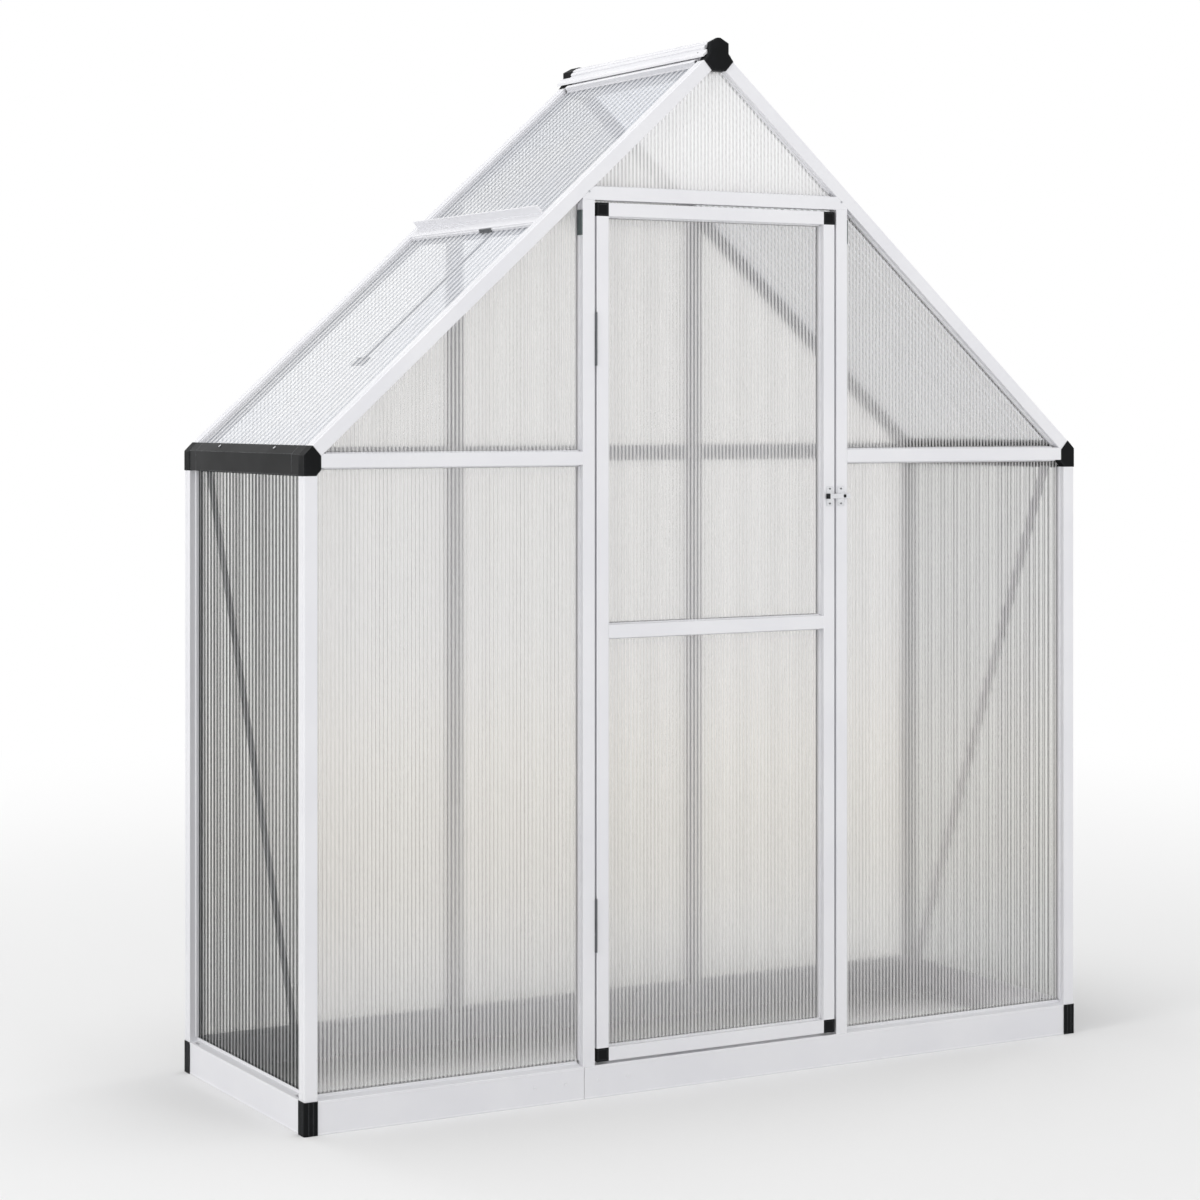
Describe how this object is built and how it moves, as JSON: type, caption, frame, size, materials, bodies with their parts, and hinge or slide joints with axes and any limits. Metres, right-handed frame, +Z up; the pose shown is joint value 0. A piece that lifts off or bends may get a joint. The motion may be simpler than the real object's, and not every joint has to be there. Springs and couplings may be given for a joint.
{
  "type": "polycarbonate greenhouse",
  "caption": "Small pitched greenhouse with a slim white metal frame, clear ribbed sheets, black corner joints, a hinged door with a bolt and a roof vent",
  "frame": {"origin": "centre of the base outline, on the ground", "axes": "+X along the door wall to the right seen from outside, +Y from the door wall to the back wall, +Z up"},
  "size_m": [1.903, 0.6565, 2.2066],
  "materials": {
    "white_frame": "satin powder coat",
    "black_bar": "satin black powder coat",
    "black_plastic": "fine matte moulding",
    "clear_sheet": "clear twin-wall sheet with fine ribs",
    "dark_bracket": "satin, dark grey-green",
    "hinge_metal": "dark satin",
    "bright_metal": "bright zinc"
  },
  "bodies": {
    "house": {"base_front_left": "white_frame", "base_front_right": "white_frame", "base_back": "white_frame", "base_sides": "white_frame", "base_joints": "black_plastic", "posts_front": "white_frame", "posts_back": "white_frame", "jamb_left": "white_frame", "jamb_right": "white_frame", "jamb_brackets": "dark_bracket", "header": "white_frame", "rail_front_left": "white_frame", "rail_front_right": "white_frame", "back_uprights": "white_frame", "rails_back": "white_frame", "rafter_front_left": "white_frame", "rafter_front_right": "white_frame", "rafters_back": "white_frame", "ridge_beam": "white_frame", "ridge_joints": "black_plastic", "eave_beams": "black_bar", "eave_joints": "black_plastic", "wall_braces": "white_frame", "roof_cross_bar": "white_frame", "vent_bars": "white_frame", "vent_sheet": "clear_sheet", "vent_stay": "bright_metal", "top_bar_right": "white_frame", "sheets_front_left": "clear_sheet", "sheets_front_right": "clear_sheet", "sheet_gable": "clear_sheet", "sheet_left": "clear_sheet", "sheet_right": "clear_sheet", "sheets_back": "clear_sheet", "sheet_roof_left": "clear_sheet", "sheet_roof_right": "clear_sheet", "jamb_hinges": "hinge_metal", "latch_keeper": "bright_metal"},
    "door": {"door_stiles": "white_frame", "door_rails": "white_frame", "door_corners": "black_plastic", "door_sheets": "clear_sheet", "door_hinges": "hinge_metal", "latch_plate": "bright_metal"},
    "bolt": {"latch_bolt": "bright_metal"}
  },
  "joints": [
    {"name": "door_hinge", "type": "hinge", "parent": "house", "child": "door", "pos_m": [-0.2975, -0.3215, 0.95], "axis": [0, 0, -1], "range_deg": [0, 110]},
    {"name": "bolt_slide", "type": "slide", "parent": "door", "child": "bolt", "axis": [-1, 0, 0], "range_m": [0, 0.04]}
  ]
}
